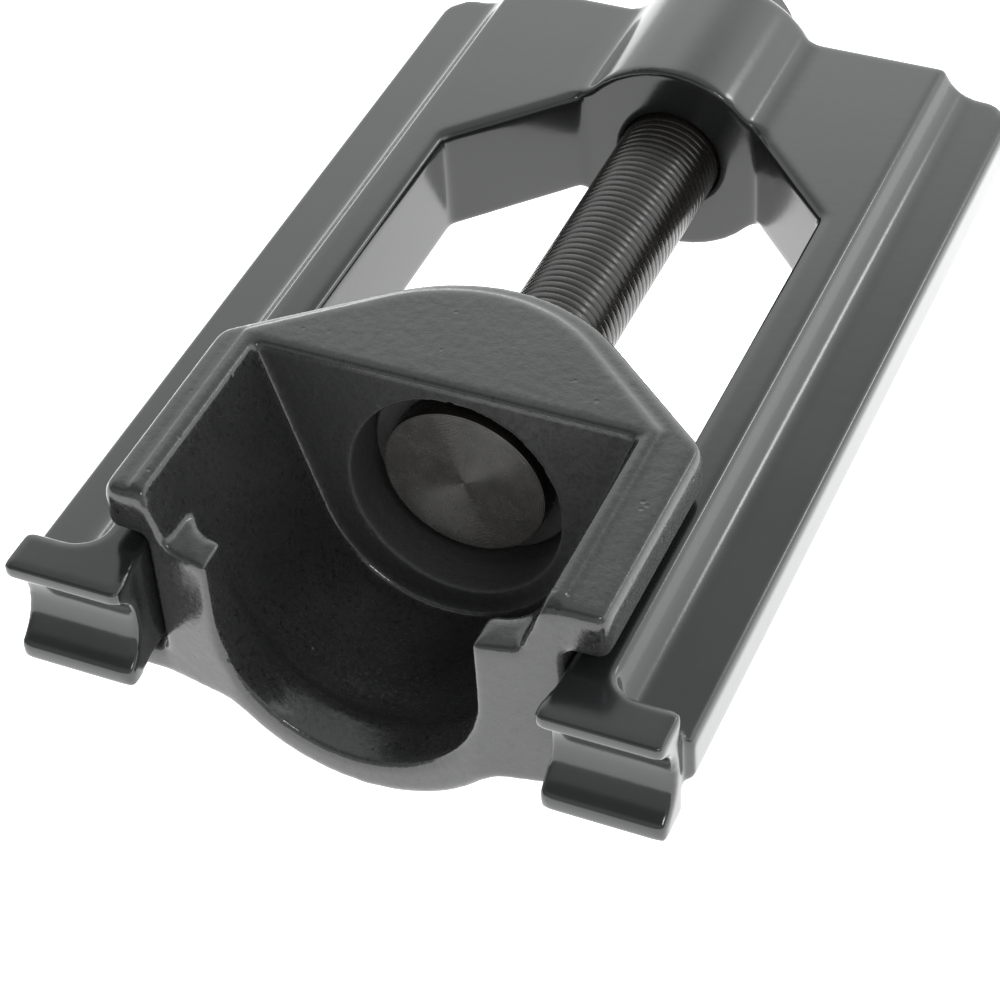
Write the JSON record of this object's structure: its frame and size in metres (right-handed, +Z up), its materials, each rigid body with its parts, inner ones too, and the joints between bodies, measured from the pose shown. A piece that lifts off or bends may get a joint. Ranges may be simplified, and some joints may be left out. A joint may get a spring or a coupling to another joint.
{
  "type": "ball joint separator",
  "caption": "Screw puller: a cast receiver block is drawn along the rails of a forged frame with grooved jaws as its forcing screw turns.",
  "frame": {"origin": "on the screw axis, in the plane of the jaw lips", "axes": "+Y along the screw from the jaws to the bridge, +Z up out of the open side of the pocket, +X to the right seen from the jaws"},
  "size_m": [0.1524, 0.2585, 0.068],
  "materials": {
    "forged_black_paint": "gloss",
    "cast_black_paint": "gloss over a cast surface",
    "oiled_black_steel": "black oxide, oiled",
    "hardened_washer": "dark ground",
    "spring_steel": "dark spring steel"
  },
  "bodies": {
    "frame": {"frame": "forged_black_paint"},
    "block": {"receiver_block": "cast_black_paint", "thrust_washer": "hardened_washer"},
    "screw": {"forcing_screw": "oiled_black_steel", "retaining_ring": "spring_steel"}
  },
  "joints": [
    {"name": "block_slide", "type": "slide", "parent": "frame", "child": "block", "axis": [0, 1, 0], "range_m": [-0.0042, 0.0846]},
    {"name": "screw_turn", "type": "hinge", "parent": "block", "child": "screw", "pos_m": [0, 0.0696, 0], "axis": [0, 1, 0], "range_deg": [-720, 14400]}
  ],
  "couplings": [
    {"joint": "screw_turn", "follows": "block_slide", "rad_per_m": 2968.4}
  ]
}
